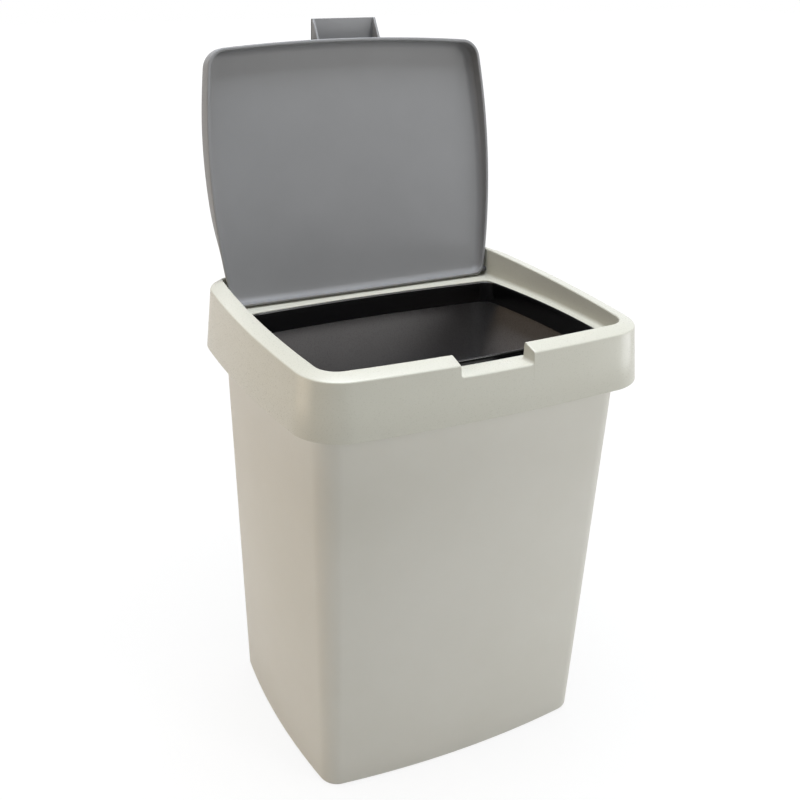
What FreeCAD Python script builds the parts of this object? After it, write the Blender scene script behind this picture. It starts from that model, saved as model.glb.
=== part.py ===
import FreeCAD, Part

# Flap-lid waste bin, drawn as its separate moulded pieces.
# The origin lies on the floor under the middle of the base, +Z is up, the finger
# notch looks towards -Y and the hinge is at +Y. The lid is drawn standing open.
# Lengths are in millimetres and angles in degrees.

import math
import os
import re
from dataclasses import dataclass, fields

import Sketcher

# Driving sizes: name, value, what it measures.
SIZES = [
    ("collar_half_width", 145.0, "collar, middle to the outer rim edge at the side"),
    ("collar_half_depth", 123.0, "collar, middle to the outer rim edge at front and rear"),
    ("collar_corner", 33.0, "corner radius of the collar's outer rim edge"),
    ("collar_side_bow", 1020.0, "radius of the collar's bowed sides, seen from above"),
    ("collar_front_bow", 1460.0, "radius of the collar's bowed front and rear, seen from above"),
    ("collar_depth", 47.4, "height of the collar's skirt"),
    ("collar_wall", 2.5, "wall of the collar"),
    ("skirt_flare", 4.8, "how far the skirt spreads towards its lower edge"),
    ("rim_above_seat", 24.0, "outer rim edge above the collar's seat, at the middle"),
    ("rim_slope", 1.7, "rise of the rim towards the hinge, degrees"),
    ("rim_rise", 3.6, "inner rim edge above the outer one"),
    ("rim_width_side", 13.5, "width of the rim at the sides"),
    ("rim_width_front", 13.5, "width of the rim at the front"),
    ("rim_width_rear", 15.5, "width of the rim behind the lid"),
    ("rim_outer_round", 2.4, "rounding of the outer rim edge"),
    ("rim_inner_round", 1.2, "rounding of the inner rim edge"),
    ("recess_front_corner", 16.0, "front corner radius of the lid recess"),
    ("recess_rear_corner", 4.0, "rear corner radius of the lid recess"),
    ("hinge_line_bow", 12000.0, "radius of the almost straight edges along the hinge"),
    ("ledge_above_seat", 8.2, "ledge that carries the lid, above the collar's seat, at the middle"),
    ("ledge_slope", 1.5, "fall of the ledge towards the hinge, degrees"),
    ("ledge_round", 0.8, "rounding between the ledge and the recess wall"),
    ("ledge_thickness", 2.5, "thickness of the ledge"),
    ("ledge_side", 8.5, "width of the ledge at the sides"),
    ("ledge_front", 6.5, "width of the ledge at the front"),
    ("ledge_rear", 23.5, "width of the ledge at the hinge"),
    ("opening_corner", 5.0, "corner radius of the opening in the ledge"),
    ("notch_width", 61.0, "width of the finger notch"),
    ("body_height", 346.0, "top edge of the outer body"),
    ("body_inset_side", 8.0, "body wall inside the collar's rim edge, at the side"),
    ("body_inset_front", 9.3, "body wall inside the collar's rim edge, front and rear"),
    ("body_taper", 9.4, "how far each wall leans in from the top edge to the base"),
    ("body_corner", 22.0, "corner radius of the body at its top edge"),
    ("body_corner_taper", 2.0, "how much smaller the corner radius is at the base"),
    ("body_side_bow", 650.0, "radius of the body's bowed sides, seen from above"),
    ("body_front_bow", 810.0, "radius of the body's bowed front and rear, seen from above"),
    ("body_wall", 2.4, "wall of the body"),
    ("body_floor", 3.0, "floor of the body"),
    ("base_round", 4.0, "rounding of the base edge"),
    ("body_rim", 3.0, "thickness of the body's outward rim"),
    ("collar_slack", 0.8, "room between the body's rim and the collar's skirt"),
    ("bucket_gap", 2.0, "room between the body and the inner bucket"),
    ("bucket_wall", 2.0, "wall of the inner bucket"),
    ("bucket_floor", 2.5, "floor of the inner bucket"),
    ("bucket_clear", 3.0, "room between the two floors"),
    ("bucket_lip", 2.2, "thickness of the lip that hangs on the body's edge"),
    ("bucket_base_round", 6.0, "rounding of the bucket's base edge"),
    ("ring_flange", 2.2, "thickness of the bag ring's flange"),
    ("ring_setback", 1.0, "bag ring behind the edge of the opening"),
    ("ring_wall", 2.0, "wall of the bag ring"),
    ("ring_drop", 13.0, "lower edge of the bag ring below the collar's seat, at the middle"),
    ("ring_corner", 14.0, "corner radius of the bag ring's band, inside"),
    ("flange_reach", 3.0, "bag ring's flange beyond the collar's inner wall"),
    ("lid_gap", 0.7, "room around the lid in its recess"),
    ("lid_rest_gap", 0.4, "room under the lid's tail, shut or open"),
    ("lid_front_corner", 17.0, "front corner radius of the lid"),
    ("lid_rear_corner", 10.0, "rear corner radius of the lid"),
    ("lid_side_bow", 600.0, "radius of the lid's bowed sides, seen from above"),
    ("lid_wall", 2.6, "wall of the lid"),
    ("lid_front_depth", 16.0, "depth of the lid at its front edge"),
    ("lid_ridge_depth", 22.0, "depth of the lid at the ridge in front of the hinge"),
    ("lid_tail_depth", 10.0, "depth of the lid at the hinge"),
    ("lid_ridge_reach", 62.0, "ridge of the lid in front of the hinge axis"),
    ("lid_tail_reach", 18.0, "foot of the lid's slope in front of the hinge axis"),
    ("lid_ridge_round", 70.0, "rounding of the lid's ridge"),
    ("lid_edge_round", 4.5, "rounding of the lid's upper edge"),
    ("lid_open_angle", 99.0, "lid plane above the horizontal when open, degrees"),
    ("hinge_back", 10.0, "hinge axis in front of the recess's rear wall"),
    ("hinge_tail", 4.8, "lid's rear edge behind the hinge axis"),
    ("hinge_boss", 4.6, "radius of the lid's hinge bosses"),
    ("boss_length", 20.0, "length of the lid's hinge bosses"),
    ("boss_end_gap", 6.5, "room between the lid's bosses and the recess wall"),
    ("socket_boss", 5.2, "radius of the collar's pin sockets"),
    ("socket_length", 6.0, "length of the collar's pin sockets behind its inner wall"),
    ("pin_radius", 2.5, "radius of the hinge pins"),
    ("pin_running_gap", 0.05, "radial room of a pin in its socket"),
    ("pin_seat_gap", 0.02, "radial room of a pin in the lid"),
    ("pin_bury", 13.0, "length of a pin inside the lid's boss"),
    ("pin_end_round", 0.6, "chamfer on the ends of a pin"),
    ("tab_width", 57.6, "width of the finger tab"),
    ("tab_reach", 16.5, "finger tab in front of the lid's edge"),
    ("tab_plate", 2.4, "thickness of the tab's plate"),
    ("tab_rib", 2.0, "thickness of the tab's two ribs"),
    ("tab_rib_depth", 11.0, "depth of the ribs at the lid, with the plate"),
    ("tab_tip_depth", 4.0, "depth of the ribs at the tip, with the plate"),
]

UP = FreeCAD.Vector(0, 0, 1)
ACROSS = FreeCAD.Vector(1, 0, 0)
PARTS_FOLDER = "parts"


def size(name):
    """Name of a driving size as expressions use it."""
    return "Sizes." + name


def terms(text):
    """Expression in which each plain word is the name of a driving size."""
    known = {name for name, _, _ in SIZES}
    return re.sub(r"[a-z_]+", lambda word: size(word[0]) if word[0] in known else word[0], text)


@dataclass(frozen=True)
class Outline:
    """A rounded rectangle with bowed sides, each size an expression over the sheet."""

    half_width: str
    front: str
    rear: str
    side_bow: str
    front_bow: str
    rear_bow: str
    front_corner: str
    rear_corner: str

    def grown(self, amount):
        """The outline moved outwards by an amount all round."""
        return Outline(*[f"( {getattr(self, item.name)} ) + ( {amount} )" for item in fields(self)])


def make_sheet(document):
    """Write the driving sizes into a sheet, one named cell for each."""
    sheet = document.addObject("Spreadsheet::Sheet", "Sizes")
    for row, (name, value, meaning) in enumerate(SIZES, start=1):
        sheet.set(f"A{row}", str(value))
        sheet.setAlias(f"A{row}", name)
        sheet.set(f"B{row}", meaning)
    document.recompute()
    return sheet


def new_body(document, label):
    """A body whose label names the piece."""
    body = document.addObject("PartDesign::Body", label)
    body.Label = label
    return body


def new_sketch(body, name, plane, offset="0", tilt="0"):
    """A sketch on one of the body's planes, moved along its normal and tilted about X."""
    sketch = body.newObject("Sketcher::SketchObject", name)
    support = next(item for item in body.Origin.OriginFeatures if item.Role == plane)
    sketch.AttachmentSupport = [(support, "")]
    sketch.MapMode = "FlatFace"
    sketch.AttachmentOffset = FreeCAD.Placement(UP, FreeCAD.Rotation(ACROSS, 1.0))
    sketch.setExpression("AttachmentOffset.Base.z", terms(offset))
    sketch.setExpression("AttachmentOffset.Rotation.Angle", terms(tilt))
    return sketch


def arc_between(centre, radius, start, end):
    """Arc about a centre, anticlockwise from one point to another."""
    first = math.atan2(start.y - centre.y, start.x - centre.x)
    last = math.atan2(end.y - centre.y, end.x - centre.x)
    return Part.ArcOfCircle(Part.Circle(centre, UP, radius), first, last)


def corner_centre(side_centre, side_radius, end_centre, end_radius, end_sign):
    """Point at given distances from two arc centres, on the right and towards one end."""
    line = end_centre - side_centre
    gap = line.Length
    along = (side_radius**2 - end_radius**2 + gap**2) / (2 * gap)
    aside = math.sqrt(side_radius**2 - along**2)
    line.normalize()
    normal = FreeCAD.Vector(-line.y, line.x, 0)
    choices = [side_centre + line * along + normal * aside * sign for sign in (1, -1)]
    return max(choices, key=lambda point: point.x + end_sign * point.y)


def touch_point(centre, radius, towards):
    """Point on an arc in the direction of another centre."""
    direction = towards - centre
    direction.normalize()
    return centre + direction * radius


def mirrored(point):
    """The point on the other side of the bin."""
    return FreeCAD.Vector(-point.x, point.y, 0)


def draw_outline(body, name, outline, height, tilt="0"):
    """Draw an outline as eight touching arcs held by named, bound sizes."""
    sketch = new_sketch(body, name, "XY_Plane", height, tilt)
    texts = {item.name: terms(getattr(outline, item.name)) for item in fields(outline)}
    value = {key: float(sketch.evalExpression(text)) for key, text in texts.items()}

    middle = (value["rear"] - value["front"]) / 2
    side = FreeCAD.Vector(value["half_width"] - value["side_bow"], middle, 0)
    front = FreeCAD.Vector(0, value["front_bow"] - value["front"], 0)
    rear = FreeCAD.Vector(0, value["rear"] - value["rear_bow"], 0)

    corners = {}
    for end, centre, sign in (("front", front, -1), ("rear", rear, 1)):
        radius = value[end + "_corner"]
        place = corner_centre(side, value["side_bow"] - radius, centre, value[end + "_bow"] - radius, sign)
        on_side = touch_point(side, value["side_bow"], place)
        on_end = touch_point(centre, value[end + "_bow"], place)
        corners[end] = (place, radius, on_side, on_end)

    front_place, front_radius, side_front, front_end = corners["front"]
    rear_place, rear_radius, side_rear, rear_end = corners["rear"]
    arcs = [
        arc_between(front, value["front_bow"], mirrored(front_end), front_end),
        arc_between(front_place, front_radius, front_end, side_front),
        arc_between(side, value["side_bow"], side_front, side_rear),
        arc_between(rear_place, rear_radius, side_rear, rear_end),
        arc_between(rear, value["rear_bow"], rear_end, mirrored(rear_end)),
        arc_between(mirrored(rear_place), rear_radius, mirrored(rear_end), mirrored(side_rear)),
        arc_between(mirrored(side), value["side_bow"], mirrored(side_rear), mirrored(side_front)),
        arc_between(mirrored(front_place), front_radius, mirrored(side_front), mirrored(front_end)),
    ]
    sketch.addGeometry(arcs, False)

    begin, finish, centre = 1, 2, 3
    origin, vertical = -1, -2
    for index in range(len(arcs)):
        following = (index + 1) % len(arcs)
        sketch.addConstraint(Sketcher.Constraint("Tangent", index, finish, following, begin))
    for index in (0, 4):
        sketch.addConstraint(Sketcher.Constraint("PointOnObject", index, centre, vertical))
    sketch.addConstraint(Sketcher.Constraint("Symmetric", 2, centre, 6, centre, vertical))
    for first, second in ((2, 6), (1, 7), (3, 5)):
        sketch.addConstraint(Sketcher.Constraint("Equal", first, second))

    middle_text = f"( ( {texts['rear']} ) - ( {texts['front']} ) ) / 2"
    bound = [
        ("Radius", (0,), texts["front_bow"]),
        ("Radius", (2,), texts["side_bow"]),
        ("Radius", (4,), texts["rear_bow"]),
        ("Radius", (1,), texts["front_corner"]),
        ("Radius", (3,), texts["rear_corner"]),
        ("DistanceY", (origin, begin, 0, centre), f"( {texts['front_bow']} ) - ( {texts['front']} )"),
        ("DistanceY", (4, centre, origin, begin), f"( {texts['rear_bow']} ) - ( {texts['rear']} )"),
        ("DistanceX", (2, centre, 6, centre), f"2 * ( ( {texts['side_bow']} ) - ( {texts['half_width']} ) )"),
        (
            "DistanceY",
            (2, centre, 0, centre),
            f"( {texts['front_bow']} ) - ( {texts['front']} ) - ( {middle_text} )",
        ),
    ]
    bind_sizes(sketch, bound)
    return sketch


def bind_sizes(sketch, bound):
    """Add sized constraints to a sketch and bind each to its expression."""
    for kind, places, text in bound:
        number = float(sketch.evalExpression(text))
        index = sketch.addConstraint(Sketcher.Constraint(kind, *places, number))
        name = f"size_{index}"
        sketch.renameConstraint(index, name)
        sketch.setExpression("Constraints." + name, text)


def draw_profile(body, name, points, plane="YZ_Plane", offset="0"):
    """Draw a closed polygon whose corners are bound to pairs of expressions."""
    sketch = new_sketch(body, name, plane, offset)
    texts = [(terms(across), terms(upward)) for across, upward in points]
    spots = [
        FreeCAD.Vector(float(sketch.evalExpression(across)), float(sketch.evalExpression(upward)), 0)
        for across, upward in texts
    ]
    count = len(spots)
    for index in range(count):
        sketch.addGeometry(Part.LineSegment(spots[index], spots[(index + 1) % count]), False)
    for index in range(count):
        sketch.addConstraint(Sketcher.Constraint("Coincident", index, 2, (index + 1) % count, 1))
    bound = []
    for index, (across, upward) in enumerate(texts):
        bound.append(("DistanceX", (-1, 1, index, 1), across))
        bound.append(("DistanceY", (-1, 1, index, 1), upward))
    bind_sizes(sketch, bound)
    return sketch


def draw_circle(body, name, radius, across, upward, offset):
    """Draw a circle on the side plane, moved sideways by an offset."""
    sketch = new_sketch(body, name, "YZ_Plane", offset)
    texts = [terms(text) for text in (radius, across, upward)]
    reach, along, height = [float(sketch.evalExpression(text)) for text in texts]
    sketch.addGeometry(Part.Circle(FreeCAD.Vector(along, height, 0), UP, reach), False)
    bound = [
        ("Radius", (0,), texts[0]),
        ("DistanceX", (-1, 1, 0, 3), texts[1]),
        ("DistanceY", (-1, 1, 0, 3), texts[2]),
    ]
    bind_sizes(sketch, bound)
    return sketch


def loft(body, name, sections, cut=False):
    """Join outlines with straight walls, adding or removing the material between.

    Each section is an outline, its height and its tilt about X.
    """
    sketches = [
        draw_outline(body, f"{name}_outline_{index}", outline, height, tilt)
        for index, (outline, height, tilt) in enumerate(sections)
    ]
    kind = "PartDesign::SubtractiveLoft" if cut else "PartDesign::AdditiveLoft"
    feature = body.newObject(kind, name)
    feature.Profile = sketches[0]
    feature.Sections = sketches[1:]
    feature.Ruled = True
    return feature


def extrude(body, name, sketch, length, cut=False, middle=False, backwards=False):
    """Extrude a sketch, adding or removing material, to one side or to both alike."""
    feature = body.newObject("PartDesign::Pocket" if cut else "PartDesign::Pad", name)
    feature.Profile = sketch
    feature.setExpression("Length", terms(length))
    feature.SideType = "Symmetric" if middle else "One side"
    feature.Reversed = backwards
    return feature


def round_edges(document, body, name, radius, chosen):
    """Round the edges of the body's last feature that a test chooses."""
    document.recompute()
    base = body.Tip
    names = [f"Edge{n}" for n, edge in enumerate(base.Shape.Edges, start=1) if chosen(edge)]
    feature = body.newObject("PartDesign::Fillet", name)
    feature.Base = (base, names)
    feature.setExpression("Radius", terms(radius))
    return feature


def sideways(distance, turned):
    """Expression for a distance to the right, or turned round to the left."""
    return f"0 - ( {distance} )" if turned else distance


def at_height(edge, height, slope=0.0, tolerance=0.05):
    """Whether an edge lies in a plane at a height, which may rise towards the rear."""
    rise = math.tan(math.radians(slope))
    middle = edge.valueAt((edge.FirstParameter + edge.LastParameter) / 2)
    ends = [vertex.Point for vertex in edge.Vertexes] + [middle]
    return all(abs(point.z - height - rise * point.y) < tolerance for point in ends)


# Roundings drawn as flats: each pair is a share of the radius sideways and upwards or downwards
OUTER_ROUND = [(0.0, -0.78), (0.087, -0.373), (0.331, -0.037), (0.691, 0.171)]
INNER_ROUND = [(0.0, 1.303), (0.181, 0.729), (0.658, 0.363), (1.259, 0.338)]
LEDGE_ROUND = [(1.0, 0.0), (0.293, 0.293), (0.0, 1.0)]

# Heights and outlines that several pieces share
SEAT = "body_height + bucket_lip + ring_flange"
RIM = f"{SEAT} + rim_above_seat"
LEDGE = f"{SEAT} + ledge_above_seat"
SKIRT_FOOT = f"{RIM} - collar_depth"
RECESS_FRONT = "collar_half_depth - rim_width_front"
RECESS_REAR = "collar_half_depth - rim_width_rear"
RECESS_SIDE = "collar_half_width - rim_width_side"
HINGE_Y = f"{RECESS_REAR} - hinge_back"
HINGE_Z = f"{LEDGE} - ( {HINGE_Y} ) * tan( ledge_slope * 1deg ) + lid_rest_gap + lid_tail_depth / 2"

HINGE_WALL = (
    f"{RECESS_SIDE} - ( collar_side_bow - rim_width_side ) + sqrt( ( collar_side_bow - rim_width_side ) ^ 2"
    f" - ( {HINGE_Y} - ( {RECESS_REAR} - ( {RECESS_FRONT} ) ) / 2 ) ^ 2 )"
)

RIM_EDGE = Outline(
    "collar_half_width",
    "collar_half_depth",
    "collar_half_depth",
    "collar_side_bow",
    "collar_front_bow",
    "collar_front_bow",
    "collar_corner",
    "collar_corner",
)
RECESS = Outline(
    RECESS_SIDE,
    RECESS_FRONT,
    RECESS_REAR,
    "collar_side_bow - rim_width_side",
    "collar_front_bow - rim_width_front",
    "hinge_line_bow",
    "recess_front_corner",
    "recess_rear_corner",
)
OPENING = Outline(
    f"{RECESS_SIDE} - ledge_side",
    f"{RECESS_FRONT} - ledge_front",
    f"{RECESS_REAR} - ledge_rear",
    "collar_side_bow - rim_width_side - ledge_side",
    "collar_front_bow - rim_width_front - ledge_front",
    "collar_front_bow",
    "opening_corner",
    "opening_corner",
)
RING_HOLE = Outline(
    f"{OPENING.half_width} + ring_setback",
    f"{OPENING.front} + ring_setback",
    f"{OPENING.rear} + ring_setback",
    "body_side_bow - body_inset_side - ring_wall",
    "body_front_bow - body_inset_front - ring_wall",
    "body_front_bow - body_inset_front - ring_wall",
    "ring_corner",
    "ring_corner",
)
BODY_TOP = Outline(
    "collar_half_width - body_inset_side",
    "collar_half_depth - body_inset_front",
    "collar_half_depth - body_inset_front",
    "body_side_bow",
    "body_front_bow",
    "body_front_bow",
    "body_corner",
    "body_corner",
)
BODY_BASE = Outline(
    "collar_half_width - body_inset_side - body_taper",
    "collar_half_depth - body_inset_front - body_taper",
    "collar_half_depth - body_inset_front - body_taper",
    "body_side_bow",
    "body_front_bow",
    "body_front_bow",
    "body_corner - body_corner_taper",
    "body_corner - body_corner_taper",
)


def body_outline(height, inset):
    """The body's outline at a height between its base and its top edge, moved inwards."""
    share = f"( 1 - ( {height} ) / body_height )"
    lean = f"( body_taper * {share} )"
    return Outline(
        f"{BODY_TOP.half_width} - {lean} - ( {inset} )",
        f"{BODY_TOP.front} - {lean} - ( {inset} )",
        f"{BODY_TOP.rear} - {lean} - ( {inset} )",
        f"body_side_bow - ( {inset} )",
        f"body_front_bow - ( {inset} )",
        f"body_front_bow - ( {inset} )",
        f"body_corner - body_corner_taper * {share} - ( {inset} )",
        f"body_corner - body_corner_taper * {share} - ( {inset} )",
    )


def make_outer_body(document):
    """Tapered outer shell with a flat base and an outward rim inside the collar."""
    body = new_body(document, "outer_body")
    base = draw_outline(body, "body_base", BODY_BASE, "0")
    extrude(body, "body_foot", base, "base_round * 1.5")
    round_edges(document, body, "body_base_round", "base_round", lambda edge: at_height(edge, 0))
    loft(body, "body_shell", [(BODY_BASE, "base_round * 1.5", "0"), (BODY_TOP, "body_height", "0")])
    spread = f"skirt_flare * ( {RIM} - body_height ) / collar_depth"
    rim_outline = RIM_EDGE.grown(f"{spread} - collar_wall - collar_slack")
    rim = draw_outline(body, "body_rim_outline", rim_outline, "body_height - body_rim")
    extrude(body, "body_rim_plate", rim, "body_rim")
    floor = (body_outline("body_floor", "body_wall"), "body_floor", "0")
    mouth = (BODY_TOP.grown("0 - body_wall"), "body_height", "0")
    loft(body, "body_hollow", [floor, mouth], cut=True)
    return body


def make_inner_bucket(document):
    """Dark inner bucket that hangs by its lip on the body's top edge."""
    body = new_body(document, "inner_bucket")
    foot = "body_floor + bucket_clear"
    skin = "body_wall + bucket_gap"
    waist = f"{foot} + bucket_base_round * 1.5"
    base = draw_outline(body, "bucket_base", body_outline(foot, skin), foot)
    extrude(body, "bucket_foot", base, "bucket_base_round * 1.5")
    foot_height = float(base.evalExpression(terms(foot)))
    round_edges(
        document, body, "bucket_base_round", "bucket_base_round", lambda edge: at_height(edge, foot_height)
    )
    top = BODY_TOP.grown(f"0 - ( {skin} )")
    loft(body, "bucket_shell", [(body_outline(foot, skin), waist, "0"), (top, "body_height", "0")])
    lip = draw_outline(body, "bucket_lip_outline", BODY_TOP, "body_height")
    extrude(body, "bucket_lip_plate", lip, "bucket_lip")
    lining = f"{skin} + bucket_wall"
    floor = f"{foot} + bucket_floor"
    mouth = (BODY_TOP.grown(f"0 - ( {lining} )"), "body_height + bucket_lip", "0")
    loft(body, "bucket_hollow", [(body_outline(floor, lining), floor, "0"), mouth], cut=True)
    return body


def make_bag_ring(document):
    """Black ring that grips the edge of a bag: a flange on the bucket and a band inside it."""
    body = new_body(document, "bag_ring")
    flange = RECESS.grown("collar_wall + flange_reach")
    seat = draw_outline(body, "ring_flange_outline", flange, "body_height + bucket_lip")
    extrude(body, "ring_flange_plate", seat, "ring_flange")
    lower = f"{SEAT} - ring_drop"
    band = RING_HOLE.grown("ring_wall")
    loft(body, "ring_band", [(band, lower, "0 - ledge_slope"), (band, SEAT, "0")])
    loft(body, "ring_hole", [(RING_HOLE, lower, "0 - ledge_slope"), (RING_HOLE, SEAT, "0")], cut=True)
    return body


def make_collar(document):
    """Lid frame: flared skirt, sloping rim, recess with a ledge, finger notch and pin sockets."""
    body = new_body(document, "collar")
    inner_wall = RECESS.grown("collar_wall")
    brow = f"{RIM} + rim_rise"

    skirt = [(RIM_EDGE.grown("skirt_flare"), SKIRT_FOOT, "0")]
    for inwards, upwards in OUTER_ROUND:
        outline = RIM_EDGE.grown(f"0 - {inwards} * rim_outer_round")
        skirt.append((outline, f"{RIM} + {upwards} * rim_outer_round", "rim_slope"))
    crest_out, crest_down = INNER_ROUND[-1]
    crest = RECESS.grown(f"{crest_out} * rim_inner_round")
    skirt.append((crest, f"{brow} - {crest_down} * rim_inner_round", "rim_slope"))
    loft(body, "skirt", skirt)

    hollow = [
        (RIM_EDGE.grown("skirt_flare - collar_wall"), SKIRT_FOOT, "0"),
        (RIM_EDGE.grown("0 - collar_wall"), f"{RIM} - collar_wall", "rim_slope"),
        (RECESS.grown("collar_wall / 2"), f"{brow} - collar_wall", "rim_slope"),
    ]
    loft(body, "skirt_hollow", hollow, cut=True)
    wall_top = f"{brow} - collar_wall * 0.7"
    loft(body, "inner_wall", [(inner_wall, SEAT, "0"), (inner_wall, wall_top, "rim_slope")])

    cheek = "collar_half_depth - collar_wall / 2"
    cheek_rear = f"{RECESS_FRONT} + collar_wall / 2"
    slope_rise = "tan( rim_slope * 1deg )"
    ledge_rise = "tan( ledge_slope * 1deg )"
    block = draw_profile(
        body,
        "notch_block",
        [
            (f"0 - ( {cheek} )", f"{LEDGE} + ( {cheek} ) * {ledge_rise} - ledge_thickness"),
            (f"0 - ( {cheek_rear} )", f"{LEDGE} + ( {cheek_rear} ) * {ledge_rise} - ledge_thickness"),
            (f"0 - ( {cheek_rear} )", f"{brow} - collar_wall * 0.7 - ( {cheek_rear} ) * {slope_rise}"),
            (f"0 - ( {cheek} )", f"{RIM} - collar_wall / 2 - ( {cheek} ) * {slope_rise}"),
        ],
    )
    extrude(body, "notch_cheeks", block, "notch_width + 2 * collar_wall", middle=True)

    recess = []
    for inwards, upwards in LEDGE_ROUND:
        outline = RECESS.grown(f"0 - {inwards} * ledge_round")
        recess.append((outline, f"{LEDGE} + {upwards} * ledge_round", "0 - ledge_slope"))
    for outwards, downwards in INNER_ROUND:
        outline = RECESS.grown(f"{outwards} * rim_inner_round")
        recess.append((outline, f"{brow} - {downwards} * rim_inner_round", "rim_slope"))
    loft(body, "recess", recess, cut=True)
    under = f"{LEDGE} - ledge_thickness"
    loft(body, "under_ledge", [(RECESS, SEAT, "0"), (RECESS, under, "0 - ledge_slope")], cut=True)
    loft(body, "opening", [(OPENING, SEAT, "0"), (OPENING, LEDGE, "0 - ledge_slope")], cut=True)

    ahead = "collar_half_depth + skirt_flare + collar_wall"
    behind = f"{RECESS_FRONT} - ledge_front / 2"
    above = f"{brow} + collar_depth"
    notch = draw_profile(
        body,
        "notch_outline",
        [
            (f"0 - ( {ahead} )", f"{LEDGE} + ( {ahead} ) * {ledge_rise}"),
            (f"0 - ( {behind} )", f"{LEDGE} + ( {behind} ) * {ledge_rise}"),
            (f"0 - ( {behind} )", above),
            (f"0 - ( {ahead} )", above),
        ],
    )
    extrude(body, "notch", notch, "notch_width", cut=True, middle=True)

    for side, turned in (("right", False), ("left", True)):
        start = sideways(f"{HINGE_WALL} + collar_wall / 2", turned)
        ring = draw_circle(body, f"socket_ring_{side}", "socket_boss", HINGE_Y, HINGE_Z, start)
        extrude(body, f"socket_{side}", ring, "socket_length + collar_wall / 2", backwards=turned)
        start = sideways(f"{HINGE_WALL} - boss_end_gap / 2", turned)
        bore = "pin_radius + pin_running_gap"
        hole = draw_circle(body, f"socket_hole_{side}", bore, HINGE_Y, HINGE_Z, start)
        reach = "boss_end_gap / 2 + collar_wall + socket_length + pin_radius / 2"
        extrude(body, f"socket_bore_{side}", hole, reach, cut=True, backwards=not turned)
    return body


LID_FRONT = f"{HINGE_Y} + {RECESS_FRONT} - lid_gap"
LID_RIM = "lid_tail_depth / 2"
LID_SIDE = f"{RECESS_SIDE} - lid_gap"
LID = Outline(
    LID_SIDE,
    LID_FRONT,
    "hinge_tail",
    "lid_side_bow",
    "collar_front_bow - rim_width_front - lid_gap",
    "hinge_line_bow",
    "lid_front_corner",
    "lid_rear_corner",
)


def draw_tail(body):
    """Draw what lies outside the lid's round tail, under and behind the hinge axis."""
    sketch = new_sketch(body, "tail_waste", "YZ_Plane")
    radius = terms(LID_RIM)
    margin = terms("hinge_tail")
    reach = float(sketch.evalExpression(radius))
    far = reach + float(sketch.evalExpression(margin))
    spots = [(reach, 0), (far, 0), (far, -far), (0, -far), (0, -reach)]
    points = [FreeCAD.Vector(across, upward, 0) for across, upward in spots]
    for first, second in zip(points, points[1:]):
        sketch.addGeometry(Part.LineSegment(first, second), False)
    arc = Part.ArcOfCircle(Part.Circle(FreeCAD.Vector(), UP, reach), -math.pi / 2, 0)
    sketch.addGeometry(arc, False)
    for first, second in ((0, 1), (1, 2), (2, 3)):
        sketch.addConstraint(Sketcher.Constraint("Coincident", first, 2, second, 1))
    sketch.addConstraint(Sketcher.Constraint("Coincident", 3, 2, 4, 1))
    sketch.addConstraint(Sketcher.Constraint("Coincident", 4, 2, 0, 1))
    sketch.addConstraint(Sketcher.Constraint("Coincident", 4, 3, -1, 1))
    for kind, line in (("Horizontal", 0), ("Vertical", 1), ("Horizontal", 2), ("Vertical", 3)):
        sketch.addConstraint(Sketcher.Constraint(kind, line))
    sketch.addConstraint(Sketcher.Constraint("PointOnObject", 0, 1, -1))
    sketch.addConstraint(Sketcher.Constraint("PointOnObject", 3, 2, -2))
    bound = [
        ("Radius", (4,), radius),
        ("DistanceX", (0, 1, 0, 2), margin),
        ("DistanceY", (3, 1, 3, 2), margin),
    ]
    bind_sizes(sketch, bound)
    return sketch


def make_lid_form(document, sheet, label, inset, foot, rounding):
    """The lid's outer form, or with an inset the hollow inside it.

    It is drawn shut and flat with the hinge axis along X through the origin. Its top
    falls gently to the front and steeply to the hinge.
    """
    body = new_body(document, label)
    outline = LID.grown(f"0 - {inset}")
    base = draw_outline(body, f"{label}_foot", outline, f"0 - ( {foot} )")
    extrude(body, f"{label}_block", base, "lid_ridge_depth * 1.5")
    over = "lid_ridge_depth * 2"
    beyond = "lid_front_depth"
    drop = f"{LID_RIM} - ( {inset} )"
    fall = f"( lid_ridge_depth - lid_front_depth ) / ( {LID_FRONT} - lid_ridge_reach )"
    top = draw_profile(
        body,
        f"{label}_top",
        [
            ("0 - lid_ridge_reach", f"lid_ridge_depth - {drop}"),
            ("0 - lid_tail_reach", f"lid_tail_depth - {drop}"),
            (f"hinge_tail + {beyond}", f"lid_tail_depth - {drop}"),
            (f"hinge_tail + {beyond}", over),
            (f"0 - ( {LID_FRONT} ) - {beyond}", over),
            (f"0 - ( {LID_FRONT} ) - {beyond}", f"lid_front_depth - {drop} - {beyond} * {fall}"),
        ],
    )
    extrude(body, f"{label}_top_cut", top, f"4 * ( {LID_SIDE} )", cut=True, middle=True)

    kinks = [sheet.get("lid_ridge_reach"), sheet.get("lid_tail_reach")]

    def is_kink(edge):
        return any(all(abs(end.Point.y + kink) < 0.05 for end in edge.Vertexes) for kink in kinks)

    round_edges(document, body, f"{label}_ridge_round", "lid_ridge_round", is_kink)

    front_edge = float(base.evalExpression(terms(outline.front)))
    rear_edge = float(base.evalExpression(terms(outline.rear)))

    def is_upper(edge):
        ends = [end.Point for end in edge.Vertexes]
        middle = edge.valueAt((edge.FirstParameter + edge.LastParameter) / 2)
        inland = -front_edge + 1 < middle.y < rear_edge - 1
        crosses = inland and abs(middle.x) < 1 and abs(ends[0].y - ends[-1].y) < 0.01
        return min(end.z for end in ends) > 0 and not crosses

    round_edges(document, body, f"{label}_edge_round", rounding, is_upper)
    document.recompute()
    return body


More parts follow.
